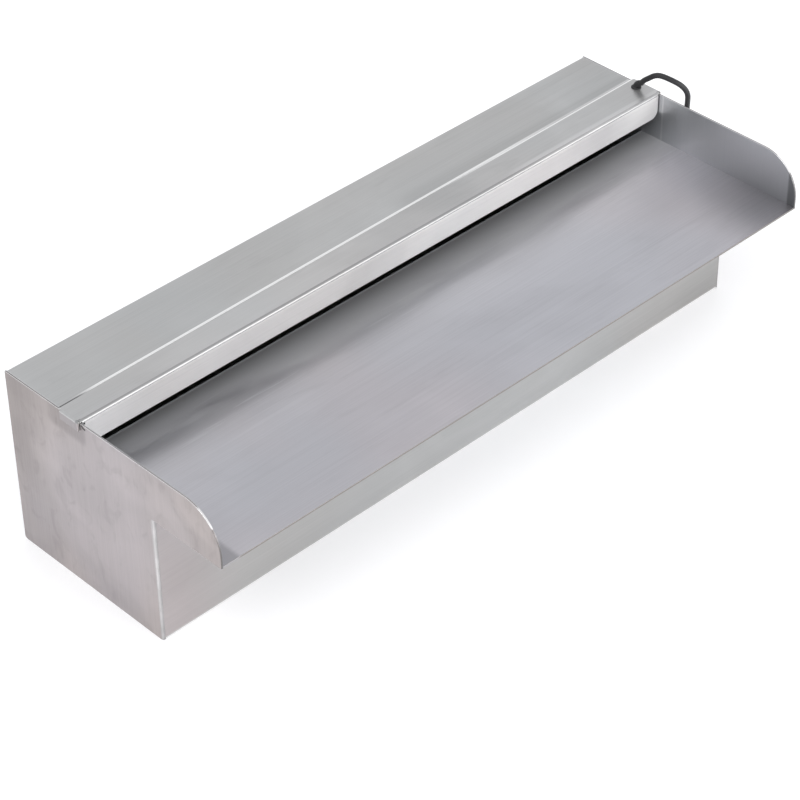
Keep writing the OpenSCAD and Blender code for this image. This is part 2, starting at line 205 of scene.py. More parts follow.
def tube(name, line, radius, sides):
    """A closed round tube along a line of points, as a mesh."""
    data = bpy.data.curves.new(name, "CURVE")
    data.dimensions = "3D"
    data.bevel_depth = radius
    data.bevel_resolution = sides // 4 - 1
    data.use_fill_caps = True
    spline = data.splines.new("POLY")
    spline.points.add(len(line) - 1)
    for point, place in zip(spline.points, line):
        point.co = (*place, 1)
    made = finish_stack(add_piece(name, data))
    made.data.shade_smooth()
    return made


def node(tree, kind, inputs=None, **settings):
    """One node with its settings and inputs: another node's output is linked, and anything else is set."""
    made = tree.nodes.new("ShaderNode" + kind)
    for name, value in settings.items():
        setattr(made, name, value)
    for key, value in (inputs or {}).items():
        if isinstance(value, bpy.types.NodeSocket):
            tree.links.new(value, made.inputs[key])
        else:
            made.inputs[key].default_value = value
    return made


def noise(tree, place, size, detail=2.0, distortion=0.0):
    """Soft random pattern from 0 to 1, whose patches are about size across."""
    settings = {"Vector": place, "Scale": 1 / size, "Detail": detail, "Distortion": distortion}
    return node(tree, "TexNoise", settings).outputs["Fac"]


def span(tree, value, low, high, to_low=0.0, to_high=1.0):
    """Value spread from one range to another, eased at both ends."""
    ranges = {0: value, 1: low, 2: high, 3: to_low, 4: to_high}
    return node(tree, "MapRange", ranges, interpolation_type="SMOOTHSTEP").outputs[0]


def mix(tree, share, a, b):
    """Colour a where share is 0, and b where it is 1."""
    return node(tree, "Mix", {0: share, 6: a, 7: b}, data_type="RGBA").outputs[2]


def bumps(tree, height, distance, strength=1.0, **inputs):
    """A normal for a surface that rises by up to a distance where the height is 1."""
    given = {"Height": height, "Distance": distance, "Strength": strength, **inputs}
    return node(tree, "Bump", given).outputs[0]


def wire(target, **sources):
    """Links what changes over the surface to a shader's inputs, or to a group's outputs."""
    for key, source in sources.items():
        target.id_data.links.new(source, target.inputs[key.replace("_", " ")])


def new_material(name, **values):
    """A material, with the values that are the same all over set on its Principled BSDF."""
    made = bpy.data.materials.new(name)
    made.use_nodes = True
    shader = made.node_tree.nodes["Principled BSDF"]
    for key, value in values.items():
        shader.inputs[key.replace("_", " ")].default_value = value
    return made, made.node_tree, shader


def object_place(tree):
    return node(tree, "TexCoord").outputs["Object"]


def soft_black(name, colour, dusty, roughness, grain, bump, gloss=0.45):
    """Black plastic or rubber: a fine moulded grain, and a faint uneven bloom that is lighter and duller."""
    made, tree, shader = new_material(name, IOR=1.46, Specular_IOR_Level=gloss)
    place = object_place(tree)
    bloom = span(tree, noise(tree, place, 14 * MM, 4), 0.35, 0.75)
    wire(
        shader, Base_Color=mix(tree, bloom, colour, dusty),
        Roughness=span(tree, bloom, 0, 1, roughness, roughness + 0.12),
        Normal=bumps(tree, noise(tree, place, grain, 3), bump, 0.6),
    )
    return made


lead = tube("lead", lead_line, lead_r, lead_sides)
lead_sheath = soft_black("lead sheath", (0.028, 0.028, 0.030, 1), (0.050, 0.050, 0.052, 1), 0.42, 1.2 * MM,
                         0.03 * MM, gloss=0.25)
lead.data.materials.append(lead_sheath)
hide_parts("lead_upper", "lead_lower", "lead_coil", "lead_tail")
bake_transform(lead)


# ---- lead gland ----
# Moulded rubber grommet: a round foot on the cover, a waist in the hole, and a ribbed neck that leans with
# the lead and grips it.

foot_r = 4.2 * MM
foot_h = 1.1 * MM
waist_r = 3.3 * MM
neck_foot_r = 2.8 * MM
neck_tip_r = 2.4 * MM
neck_ribs = 3
rings_per_rib = 4
rib_depth = 0.14 * MM
lean_at_foot = 0.45
neck_bulge = 0.08
cover_t = 1.2 * MM
gland_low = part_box("lead_gland")[0]
cover_low, cover_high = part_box("light_cover")
gland_x, gland_y = gland_foot.x, gland_foot.y


def loft(name, rings):
    """A closed skin over rings of points, capped at both ends."""
    made = bmesh.new()
    loops = [[made.verts.new(p) for p in ring] for ring in rings]
    count = len(rings[0])
    for low, high in zip(loops, loops[1:]):
        for k in range(count):
            made.faces.new((low[k], low[(k + 1) % count], high[(k + 1) % count], high[k]))
    made.faces.new(loops[0][::-1])
    made.faces.new(loops[-1])
    bmesh.ops.recalc_face_normals(made, faces=made.faces)
    mesh = bpy.data.meshes.new(name)
    made.to_mesh(mesh)
    made.free()
    mesh.shade_smooth()
    return add_piece(name, mesh)


def gland_rings():
    """Rings from under the cover, up through its hole, and along the neck as it leans over."""
    under = gland_low.z
    top = cover_high.z
    under_sheet = top - cover_t
    flat = [
        (under, foot_r - 0.3 * MM), (under + 0.3 * MM, foot_r), (under_sheet - 0.05 * MM, foot_r),
        (under_sheet, waist_r), (top + 0.02 * MM, waist_r), (top + 0.05 * MM, foot_r),
        (top + 0.5 * foot_h, foot_r), (top + 0.85 * foot_h, foot_r - 0.35 * MM),
        (top + foot_h, foot_r - 1.1 * MM),
    ]
    rings = [(Vector((gland_x, gland_y, z)), 0.0, r) for z, r in flat]
    foot_top = rings[-1][0]
    reach = (lead_start - foot_top).length
    steps = rings_per_rib * neck_ribs
    for i in range(1, steps + 1):
        share = i / steps
        lean = gland_lean * min(1.0, lean_at_foot + share)
        bulge = neck_bulge * reach * math.sin(math.pi * share)
        centre = foot_top.lerp(lead_start, share) + Vector((0, bulge, bulge))
        rib = rib_depth * (0.5 + 0.5 * math.cos(math.tau * neck_ribs * share))
        rings.append((centre, lean, neck_foot_r + (neck_tip_r - neck_foot_r) * share + rib))
    return rings


def ring(centre, lean, radius, count=32):
    """A ring of points about a centre, leaning about X."""
    turn = Matrix.Rotation(lean, 3, "X")
    corners = [math.tau * k / count for k in range(count)]
    return [centre + turn @ Vector((radius * math.cos(a), radius * math.sin(a), 0)) for a in corners]


gland = loft("lead_grommet", [ring(*r) for r in gland_rings()])
rubber = soft_black("moulded rubber", (0.016, 0.016, 0.018, 1), (0.034, 0.034, 0.036, 1), 0.5, 0.5 * MM,
                    0.02 * MM)
gland.data.materials.append(rubber)
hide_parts("lead_gland")
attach(gland, "cover")


# ---- coil tie ----
# A white nylon strap, 4 mm wide, pulled tight round the bundle of turns. Its square head lies on top.

tie_turn = math.radians(-40)
tie_w = 4 * MM
tie_t = 0.7 * MM
tie_corner = 2.2 * MM
corner_steps = 4
coil_low, coil_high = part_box("lead_coil")
bundle_out = (coil_high.x - coil_low.x) / 2
bundle_in = bundle_out - coil_turns * coil_pitch - coil_pitch
bundle_low, bundle_top = coil_low.z, coil_high.z


def tie_loop():
    """Outline of the strap round the bundle's section, as (radius, height), with round corners."""
    corners = [
        (bundle_in, bundle_low), (bundle_out, bundle_low), (bundle_out, bundle_top), (bundle_in, bundle_top),
    ]
    middle = ((bundle_in + bundle_out) / 2, (bundle_low + bundle_top) / 2)
    made = []
    for n, corner in enumerate(corners):
        inner = Vector([c + (tie_corner if m > c else -tie_corner) for c, m in zip(corner, middle)])
        for k in range(corner_steps + 1):
            a = math.pi * (1 + n / 2) + math.pi / 2 * k / corner_steps
            made.append(inner + tie_corner * Vector((math.cos(a), math.sin(a))))
    return made


def bevel(piece, width, segments=2, **limits):
    """Rounds a piece's edges: those over an angle, or those with a weight."""
    made = piece.modifiers.new("edges", "BEVEL")
    made.width = width
    made.segments = segments
    made.limit_method = limits.get("by", "ANGLE")
    made.angle_limit = math.radians(limits.get("angle", 40))
    made.material = limits.get("material", -1)
    made.use_clamp_overlap = limits.get("clamp", True)
    return made


def even_normals(piece):
    """Keeps big flat faces flat to look at, beside their small round edges."""
    piece.data.shade_smooth()
    piece.modifiers.new("normals", "WEIGHTED_NORMAL").weight = 80


def mesh_piece(name, points, faces):
    """A new piece from its points and faces."""
    mesh = bpy.data.meshes.new(name)
    mesh.from_pydata([tuple(p) for p in points], [], faces)
    return add_piece(name, mesh)


def thicken(piece, thickness, offset=-1):
    """Gives a sheet its thickness, inwards or, with an offset of 1, outwards."""
    made = piece.modifiers.new("sheet", "SOLIDIFY")
    made.thickness = thickness
    made.offset = offset
    made.use_even_offset = True


strap_line = tie_loop()
strap_points = [(p.x, side * tie_w / 2, p.y) for p in strap_line for side in (-1, 1)]
strap_count = len(strap_line)
strap_faces = []
for k in range(strap_count):
    near, far = 2 * k, 2 * ((k + 1) % strap_count)
    strap_faces.append((near, near + 1, far + 1, far))
tie_place = Matrix.Translation(coil_centre) @ Matrix.Rotation(tie_turn, 4, "Z")
strap = mesh_piece("tie_strap", strap_points, strap_faces)
thicken(strap, tie_t, 1)
bevel(strap, 0.15 * MM, angle=60)
even_normals(strap)
strap.matrix_world = tie_place
strap = finish_stack(strap)

head_size = Vector((6, 5.4, 3)) * MM
head_inset = 5.5 * MM
head_gap = 0.1 * MM
head_place = Vector((bundle_out - head_inset, 0, bundle_top + tie_t + head_size.z / 2 + head_gap))


def block(name, size, centre):
    """A box cage about a centre, for a bevel to finish."""
    corners = [centre + Vector((x * size.x, y * size.y, z * size.z)) / 2
               for x in (-1, 1) for y in (-1, 1) for z in (-1, 1)]
    sides = [(0, 1, 3, 2), (4, 6, 7, 5), (0, 4, 5, 1), (2, 3, 7, 6), (0, 2, 6, 4), (1, 5, 7, 3)]
    return mesh_piece(name, corners, sides)


tie_head = block("tie_head", head_size, head_place)
bevel(tie_head, 0.7 * MM, 3, angle=30)
even_normals(tie_head)
tie_head.matrix_world = tie_place
tie_head = finish_stack(tie_head)
nylon, nylon_tree, nylon_shader = new_material("nylon", Roughness=0.42, Subsurface_Weight=0.08, IOR=1.53)
nylon_shader.inputs["Subsurface Radius"].default_value = (0.002, 0.002, 0.002)
nylon_place = object_place(nylon_tree)
nylon_cloud = span(nylon_tree, noise(nylon_tree, nylon_place, 5 * MM, 3), 0.3, 0.7)
wire(
    nylon_shader, Base_Color=mix(nylon_tree, nylon_cloud, (0.80, 0.80, 0.77, 1), (0.70, 0.70, 0.66, 1)),
    Normal=bumps(nylon_tree, noise(nylon_tree, nylon_place, 0.6 * MM, 2), 0.05 * MM),
)
for part in (strap, tie_head):
    part.data.materials.append(nylon)
    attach(part, "tank")
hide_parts("coil_tie")


# ---- connector ----
# Round waterproof plug on the lead's end, lying on the floor: a ribbed boot, a gripped body, a coupling nut
# that is loose round it, and two pins.

conn_start = Vector(tail_route[-1]) * MM
boot_l = 16 * MM
body_l = 24 * MM
body_r = 6.3 * MM
nut_r = 8 * MM
nut_l = 18 * MM
nut_bore = 6.45 * MM
nut_overlap = 6 * MM
boot_tip_r = lead_d / 2 + 0.55 * MM
boot_flare = body_r - 1.6 * MM - lead_d / 2
boot_grooves = 4
groove_depth = 0.6 * MM
groove_edge = 0.2 * MM
first_groove = 0.82 * boot_l
groove_pitch = 0.17 * boot_l
groove_w = 0.09 * boot_l
lying = Matrix.Rotation(math.radians(-90), 4, "Y")


def turned(name, profile, steps=48):
    """A round piece about Z, from a profile of (radius, height) that runs from top to bottom."""
    mesh = bpy.data.meshes.new(name)
    mesh.from_pydata([(r, 0, z) for r, z in profile], [(i, i + 1) for i in range(len(profile) - 1)], [])
    made = add_piece(name, mesh)
    screw = made.modifiers.new("turn", "SCREW")
    screw.axis = "Z"
    screw.steps = screw.render_steps = steps
    screw.use_merge_vertices = True
    screw.merge_threshold = 0.01 * MM
    screw.use_smooth_shade = True
    return made


def put(piece, place, turn=None):
    """Finishes a piece that was made at its own origin, and moves it to its place on the blade."""
    piece.matrix_world = Matrix.Translation(place) @ (turn or Matrix.Identity(4))
    return finish_stack(piece)


def boot_profile():
    """Tapered boot with four grooves cut round it, from its wide end to the lead."""
    made = [(0, boot_l), (body_r - 1.5 * MM, boot_l), (body_r - 1.05 * MM, boot_l - 0.4 * MM)]
    for g in range(boot_grooves):
        high = first_groove - groove_pitch * g
        low = high - groove_w
        bottom = ((high - groove_edge, groove_depth), (low + groove_edge, groove_depth))
        for z, cut in ((high, 0), *bottom, (low, 0)):
            made.append((boot_tip_r + boot_flare * z / boot_l - cut, z))
    return made + [(lead_d / 2 + 0.45 * MM, 0.2 * MM), (lead_d / 2 + 0.2 * MM, 0), (0, 0)]


boot = turned("connector_strain_relief", boot_profile())
bevel(boot, 0.12 * MM, 2, angle=25)
even_normals(boot)
boot = put(boot, conn_start, lying)

body_profile = [
    (0, body_l), (2.9 * MM, body_l), (3.1 * MM, body_l - 0.2 * MM), (3.1 * MM, body_l - 3 * MM),
    (4.6 * MM, body_l - 3 * MM), (4.6 * MM, body_l), (body_r - 0.5 * MM, body_l), (body_r, body_l - 0.5 * MM),
    (body_r, 14 * MM), (body_r - 0.7 * MM, 13.4 * MM), (body_r - 0.7 * MM, 10.6 * MM), (body_r, 10 * MM),
    (body_r, 2.4 * MM), (body_r - 0.6 * MM, 0.6 * MM), (body_r - 1.4 * MM, 0), (0, 0),
]
body = turned("connector_shell", body_profile)
bevel(body, 0.15 * MM, 2, angle=25)
even_normals(body)
body = put(body, conn_start - Vector((boot_l, 0, 0)), lying)

ribs = 24
points_per_rib = 8
rib_hollow = 0.75 * MM
nut_chamfer = 0.9 * MM
bore_chamfer = 0.3 * MM
wide_bore = nut_bore + bore_chamfer


def nut_radius(k):
    """Outer radius of the nut at one of its corners: round ribs with hollows between them."""
    share = (k % points_per_rib) / points_per_rib
    return nut_r - rib_hollow * (0.5 - 0.5 * math.cos(math.tau * share)) ** 2


def nut_ring(z, inset, bore=None):
    """One ring of the nut: ribbed and set in from its outside, or round at its bore."""
    count = ribs * points_per_rib
    radii = [bore or nut_radius(k) - inset for k in range(count)]
    corners = [math.tau * k / count for k in range(count)]
    return [Vector((r * math.cos(a), r * math.sin(a), z)) for r, a in zip(radii, corners)]


def closed_loft(name, rings):
    """A skin over rings that closes on itself, for a piece with a bore."""
    count = len(rings[0])
    points = [p for r in rings for p in r]
    faces = []
    for i in range(len(rings)):
        j = (i + 1) % len(rings)
        for k in range(count):
            nk = (k + 1) % count
            faces.append((i * count + k, i * count + nk, j * count + nk, j * count + k))
    made = mesh_piece(name, points, faces)
    cage = bmesh.new()
    cage.from_mesh(made.data)
    bmesh.ops.recalc_face_normals(cage, faces=cage.faces)
    cage.to_mesh(made.data)
    cage.free()
    return made


nut = closed_loft("connector_coupling_nut", [
    nut_ring(0, 0, wide_bore), nut_ring(0, nut_chamfer), nut_ring(nut_chamfer, 0.1 * MM),
    nut_ring(1.4 * MM, 0), nut_ring(nut_l - 1.4 * MM, 0), nut_ring(nut_l - nut_chamfer, 0.1 * MM),
    nut_ring(nut_l, nut_chamfer), nut_ring(nut_l, 0, wide_bore),
    nut_ring(nut_l - bore_chamfer, 0, nut_bore), nut_ring(bore_chamfer, 0, nut_bore),
])
even_normals(nut)
nut = put(nut, conn_start - Vector((boot_l + body_l - nut_overlap, 0, 0)), lying)
hard_black = soft_black("moulded plastic", (0.014, 0.014, 0.016, 1), (0.026, 0.026, 0.028, 1), 0.4, 0.35 * MM,
                        0.015 * MM)
for part, stands_for, name in (
    (boot, "connector_boot", "gland_rubber"), (body, "connector_body", "connector_black"),
    (nut, "connector_nut", "connector_black"),
):
    part.data.materials.append(rubber if name == "gland_rubber" else hard_black)
    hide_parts(stands_for)
    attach(part, "tank")

pin_brass, pin_tree, pin_shader = new_material("pin brass", Metallic=1.0)
pin_wear = noise(pin_tree, object_place(pin_tree), 0.8 * MM, 4)
wire(
    pin_shader, Base_Color=mix(pin_tree, pin_wear, (0.72, 0.52, 0.22, 1), (0.55, 0.38, 0.16, 1)),
    Roughness=span(pin_tree, pin_wear, 0.2, 0.8, 0.2, 0.4),
)


def refinish(node_name, *materials):
    """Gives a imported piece, whose shape stays as it is, its finish."""
    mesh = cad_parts[node_name].data
    mesh.materials.clear()
    for one in materials:
        mesh.materials.append(one)


refinish("connector_pins", pin_brass)


# ---- tank shell ----
# One sheet of 1.5 mm stainless steel, folded round the bottom and over the top, and brushed along the blade
# before it was folded. Its cut edges are deburred. Its cut edges and folds take lighter copies of the steel,
# as painted highlights.

sheet_t = 1.5 * MM
shell_fold = 3 * MM
top_fold = 2 * MM
seam_fold = 1.6 * MM
top_flange = 12 * MM
top_plate_d = 56 * MM
seam_skew = 8 * MM
edge_r = 0.22 * MM
shell_low, shell_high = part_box("tank_shell")
panel_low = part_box("left_end_panel")[0]
floor_low, floor_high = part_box("spill_floor")
blade_half, lip_y = -panel_low.x, panel_low.y
front_y, back_y, tank_h = shell_low.y, shell_high.y, shell_high.z
tray_z = floor_high.z
tray_under = tray_z - sheet_t
fold_segments = 8


def seam_at(x):
    """Where the seam between top plate and cover runs, at a place along the blade."""
    return back_y - top_plate_d + seam_skew * x / (2 * blade_half)


def folded(name, half_w, corners, thickness, columns=12):
    """A folded sheet along the blade. Each corner is (y, z, outside radius); y may change along the blade."""
    made = bmesh.new()
    weight = made.edges.layers.float.new("bevel_weight_edge")
    widest = max(c[2] for c in corners)
    rows = []
    for i in range(columns + 1):
        x = -half_w + 2 * half_w * i / columns
        rows.append([made.verts.new((x, y(x) if callable(y) else y, z)) for y, z, _ in corners])
    for low, high in zip(rows, rows[1:]):
        for k in range(len(corners) - 1):
            made.faces.new((low[k], high[k], high[k + 1], low[k + 1]))
    for low, high in zip(rows, rows[1:]):
        for k, corner in enumerate(corners):
            made.edges.get((low[k], high[k]))[weight] = corner[2] / widest
    mesh = bpy.data.meshes.new(name)
    made.to_mesh(mesh)
    made.free()
    piece = add_piece(name, mesh)
    bevel(piece, widest, fold_segments, by="WEIGHT", material=1, clamp=False)
    thicken(piece, thickness)
    bevel(piece, edge_r, 2, angle=50, material=2)
    return piece


def maths(tree, operation, a, b=0.5):
    return node(tree, "Math", {0: a, 1: b}, operation=operation).outputs[0]


def vectors(tree, operation, a, b):
    return node(tree, "VectorMath", {0: a, 1: b}, operation=operation).outputs[0]


def times(tree, vector, factor):
    """A place or a colour multiplied by one factor."""
    return node(tree, "VectorMath", {0: vector, 3: factor}, operation="SCALE").outputs[0]


def mix_values(tree, share, a, b):
    """Value a where share is 0, and b where it is 1."""
    return node(tree, "Mix", {0: share, 2: a, 3: b}).outputs[0]


def node_group(name, inputs, outputs):
    """A new node group with named sockets: its tree, what it is given, and the node for its results."""
    tree = bpy.data.node_groups.new(name, "ShaderNodeTree")
    for label, kind in inputs.items():
        tree.interface.new_socket(label, in_out="INPUT", socket_type="NodeSocket" + kind)
    for label in outputs:
        tree.interface.new_socket(label, in_out="OUTPUT", socket_type="NodeSocketFloat")
    return tree, tree.nodes.new("NodeGroupInput").outputs, tree.nodes.new("NodeGroupOutput")


def brushed_grain():
    """Node group: fine lines along X, as a belt leaves them, with a few longer scratches among them."""
    inputs = {"Place": "Vector", "Line Length": "Float", "Line Width": "Float", "Scratches": "Float"}
    tree, given, out = node_group("brushed grain", inputs, ("Tone", "Height"))
    line_size = {0: given["Line Length"], 1: given["Line Width"], 2: given["Line Width"]}
    stretched = vectors(tree, "DIVIDE", given["Place"], node(tree, "CombineXYZ", line_size).outputs[0])
    scratch_size = {0: given["Line Length"], 1: 0.9 * MM, 2: 0.9 * MM}
    scratch_place = vectors(tree, "DIVIDE", given["Place"], node(tree, "CombineXYZ", scratch_size).outputs[0])
    scratch = span(tree, noise(tree, scratch_place, 1.7, 2, 0.2), 0.64, 0.72)
    scratch = maths(tree, "MULTIPLY", scratch, given["Scratches"])
    coarse, fine, broad = (
        maths(tree, "MULTIPLY", noise(tree, stretched, size, detail), share)
        for size, detail, share in ((1, 3, 0.5), (0.31, 2, 0.3), (4.5, 2, 0.2))
    )
    lines = maths(tree, "ADD", maths(tree, "ADD", coarse, fine), broad)
    wire(out, Tone=maths(tree, "ADD", span(tree, lines, 0.3, 0.7), scratch),
         Height=maths(tree, "SUBTRACT", lines, scratch))
    return tree


def clouding():
    """Node group: the soft patches that handling, rinsing and the rolling mill leave on plain sheet."""
    tree, given, out = node_group("clouding", {"Place": "Vector", "Patch": "Float"}, ("Tone", "Hue", "Smear"))
    patches = times(tree, given["Place"], given["Patch"])
    shifted = vectors(tree, "ADD", patches, (3.7, 9.1, 5.3))
    smeared = vectors(tree, "MULTIPLY", patches, (0.8, 3.4, 2.2))
    wire(
        out, Tone=span(tree, noise(tree, patches, 1, 3, 0.6), 0.32, 0.68),
        Hue=span(tree, noise(tree, shifted, 1.6, 2, 0.3), 0.35, 0.65),
        Smear=span(tree, noise(tree, smeared, 0.45, 4, 1.0), 0.5, 0.72),
    )
    return tree


grain_group = brushed_grain()
cloud_group = clouding()


class Steel:
    """A brushed steel: its material, and the nodes that a piece's own marks are added to."""

    def __init__(self, name, cool, warm, turn=(0, 0, 0), line=(90 * MM, 0.9 * MM), scratches=0.2, patches=7.0,
                 contrast=0.05, clouded=0.05, roughness=0.36, bump=0.004 * MM, metallic=0.9):
        self.material, self.tree, self.shader = new_material(name, Metallic=metallic, IOR=2.2)
        tree = self.tree
        self.place = object_place(tree)
        brushed = node(tree, "Mapping", {"Vector": self.place, "Rotation": turn}).outputs[0]
        self.grain = node(tree, "Group", node_tree=grain_group)
        tree.links.new(brushed, self.grain.inputs["Place"])
        self.grain.inputs["Line Length"].default_value = line[0]
        self.grain.inputs["Line Width"].default_value = line[1]
        self.grain.inputs["Scratches"].default_value = scratches
        self.cloud = node(tree, "Group", node_tree=cloud_group)
        tree.links.new(self.place, self.cloud.inputs["Place"])
        self.cloud.inputs["Patch"].default_value = patches
        hue = mix(tree, self.cloud.outputs["Hue"], cool, warm)
        light = span(tree, self.grain.outputs["Tone"], 0, 1, 1 - contrast, 1 + contrast)
        cloudy = span(tree, self.cloud.outputs["Tone"], 0, 1, 1 - clouded, 1 + clouded / 2)
        smear = span(tree, self.cloud.outputs["Smear"], 0, 1, 1, 1 - clouded * 0.6)
        self.colour = times(tree, hue, self.product(light, cloudy, smear))
        rough = span(tree, self.grain.outputs["Tone"], 0, 1, roughness + 0.05, roughness - 0.05)
        self.rough = maths(tree, "ADD", rough, maths(tree, "MULTIPLY", self.cloud.outputs["Smear"], 0.06))
        ridges = bumps(tree, self.grain.outputs["Height"], bump)
        waves = noise(tree, self.place, 160 * MM, 1)
        wire(self.shader, Normal=bumps(tree, waves, 0.35 * MM, 0.5, Normal=ridges))

    def axis(self, name):
        """One coordinate of the place on the blade."""
        return node(self.tree, "SeparateXYZ", {0: self.place}).outputs[name]

    def along(self, name, low, high, to_low=0.0, to_high=1.0):
        """A value that changes from one place to another along an axis, eased at both ends."""
        return span(self.tree, self.axis(name), low, high, to_low, to_high)

    def product(self, first, *others):
        """Several factors in one, or the mask that is 1 where all of several masks are."""
        for one in others:
            first = maths(self.tree, "MULTIPLY", first, one)
        return first

    def where(self, mask, factor):
        """A factor where the mask is 1, which fades to 1 where the mask is 0."""
        return span(self.tree, mask, 0, 1, 1, factor)

    def ragged(self, reach, place, size, distortion=0.0):
        """A soft random shift for an edge, to either side by up to half the reach."""
        patches = noise(self.tree, place, size, 3, distortion)
        return maths(self.tree, "MULTIPLY", maths(self.tree, "SUBTRACT", patches, 0.5), reach)

    def ring_mark(self, offsets, radius, full, gone):
        """Mask of a ring round a place: 1 up to one distance from its radius, and 0 from another on."""
        offset = node(self.tree, "CombineXYZ", offsets).outputs[0]
        distance = node(self.tree, "VectorMath", {0: offset}, operation="LENGTH").outputs["Value"]
        past = maths(self.tree, "ABSOLUTE", maths(self.tree, "SUBTRACT", distance, radius))
        return span(self.tree, past, full, gone, 1, 0)

    def on_top(self):
        """Mask of the tank's top."""
        return self.along("Z", tank_h - 4 * MM, tank_h - 3 * MM)

    def near_seam(self, behind, ahead):
        """Mask of the band along the seam, from a distance behind it to a distance ahead of it."""
        line = maths(self.tree, "MULTIPLY", self.axis("X"), seam_skew / (2 * blade_half))
        past = maths(self.tree, "SUBTRACT", self.axis("Y"), line)
        past = maths(self.tree, "SUBTRACT", past, back_y - top_plate_d)
        blur = 0.3 * MM
        return self.product(
            span(self.tree, past, behind - blur, behind + blur, 1, 0),
            span(self.tree, past, -ahead - blur, -ahead + blur), self.on_top(),
        )

    def paint(self, mask, colour):
        """A colour where the mask is 1."""
        self.colour = mix(self.tree, mask, self.colour, colour)

    def shade(self, factor):
        """Makes the steel darker or lighter by a factor, and keeps its grain."""
        self.colour = times(self.tree, self.colour, factor)

    def tint(self, mask, colour):
        """Multiplies the steel's colour by another where the mask is 1."""
        inputs = {0: mask, 6: self.colour, 7: colour}
        self.colour = node(self.tree, "Mix", inputs, data_type="RGBA", blend_type="MULTIPLY").outputs[2]

    def dull(self, mask, clean, dulled):
        """Less mirror-like where the mask is 1, so that it scatters the light."""
        wire(self.shader, Metallic=span(self.tree, mask, 0, 1, clean, dulled))

    def polish(self, mask, roughness):
        """A roughness where the mask is 1."""
        self.rough = mix_values(self.tree, mask, self.rough, roughness)

    def done(self):
        wire(self.shader, Base_Color=self.colour, Roughness=self.rough)
        return self.material


def seam_highlight_and_shade(made):
    """A painted highlight on the edge beside the seam, and painted shade in the gap at the seam's left end."""
    # Painted highlight: near-white along the edge beside the seam.
    drawn = made.product(made.near_seam(2.3 * MM, 0.4 * MM), made.along("X", -0.29, -0.26),
                         made.along("X", 0.12, 0.24, 1, 0.25))
    made.paint(drawn, (0.96, 0.96, 0.95, 1))
    made.polish(drawn, 0.45)
    # Painted shade: near-black in the gap at the seam's left end.
    seam_gap_shade = made.product(made.near_seam(0.9 * MM, 0.6 * MM), made.along("X", -0.284, -0.270, 1, 0))
    made.paint(seam_gap_shade, (0.10, 0.10, 0.10, 1))


def shell_finish():
    """Brushed along the blade. Painted shade darkens the front wall, and dims the top a little by the seam."""
    made = Steel("shell steel", (0.53, 0.535, 0.535, 1), (0.54, 0.53, 0.52, 1), line=(120 * MM, 0.6 * MM),
                 contrast=0.03)
    seam_highlight_and_shade(made)
    # Painted shade on the front wall.
    wall = made.along("Y", front_y + 0.5 * MM, front_y + 2 * MM, 1, 0)
    made.shade(made.where(wall, 0.80))
    made.shade(made.along("X", 0.23, 0.29, 1, 0.9))
    made.tint(made.product(wall, made.along("X", -0.29, -0.21, 1, 0)), (0.90, 0.84, 0.86, 1))
    # Painted light low on the front wall, turning to painted shade towards its right end.
    low_wall = made.product(wall, made.along("Z", 0.02, 0.05, 1, 0))
    made.shade(mix_values(made.tree, low_wall, 1, made.along("X", 0.1, 0.26, 1.09, 0.90)))
    # Painted shade on the top beside the seam.
    by_seam = made.product(made.along("Y", 0.040, 0.052, 1, 0), made.along("X", 0.02, 0.06), made.on_top())
    made.shade(made.where(by_seam, 0.91))
    return made.done()


def fold_finish():
    """Finer lines round the folds, where the steel stretched, lighter as a painted highlight; the cover's front
    fold has painted shade and is rougher.
    """
    made = Steel("fold steel", (0.56, 0.56, 0.56, 1), (0.545, 0.535, 0.53, 1), line=(40 * MM, 0.5 * MM),
                 roughness=0.34, clouded=0.06)
    seam_highlight_and_shade(made)
    # Painted shade on the cover's front fold, most towards the left.
    cover_fold = made.product(made.along("Y", cover_low.y + 3 * MM, cover_low.y + 4 * MM, 1, 0),
                              made.along("Z", cover_high.z - 4 * MM, cover_high.z - 3 * MM))
    made.shade(mix_values(made.tree, cover_fold, 1, made.along("X", 0.1, 0.2, 0.66, 0.95)))
    made.polish(cover_fold, 0.42)
    return made.done()


def edge_finish():
    """Cut edges, lighter than the sheet as a painted highlight, with painted shade near the lip."""
    made = Steel("edge highlight steel", (0.86, 0.86, 0.86, 1), (0.82, 0.82, 0.81, 1), line=(3 * MM, 0.3 * MM),
                 roughness=0.25, clouded=0.05, metallic=0.8)
    # Painted shade on the cut edges near the lip.
    made.shade(made.along("Y", lip_y + 7 * MM, lip_y + 9 * MM, 0.2, 1))
    return made.done()


shell_steel, fold_steel, edge_steel = shell_finish(), fold_finish(), edge_finish()


def sheet_finishes(piece, faces, folds=fold_steel, edges=edge_steel):
    """The three finishes of a sheet piece: its faces, its folds and its cut edges."""
    for one in (faces, folds, edges):
        piece.data.materials.append(one)


inlet_low, inlet_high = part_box("inlet_stub")
inlet_axis = Vector(((inlet_low.x + inlet_high.x) / 2, back_y, (inlet_low.z + inlet_high.z) / 2))
inlet_bore = 18.5 * MM
drill_l = 20 * MM
shell = folded("tank_sheet", shell_high.x + edge_r, [
    (seam_at, tank_h - top_flange, 0), (seam_at, tank_h, seam_fold), (back_y, tank_h, top_fold),
    (back_y, 0, shell_fold), (front_y, 0, shell_fold), (front_y, tray_under, 0),
], sheet_t)
drill_cage = bmesh.new()
bmesh.ops.create_cone(
    drill_cage, cap_ends=True, segments=64, radius1=inlet_bore, radius2=inlet_bore, depth=drill_l,
)
drill_mesh = bpy.data.meshes.new("drill")
drill_cage.to_mesh(drill_mesh)
drill_cage.free()
drill = add_piece("drill", drill_mesh)
drill.matrix_world = Matrix.Translation(inlet_axis) @ Matrix.Rotation(math.radians(90), 4, "X")
hole = shell.modifiers.new("inlet hole", "BOOLEAN")
hole.object = drill
hole.solver = "EXACT"
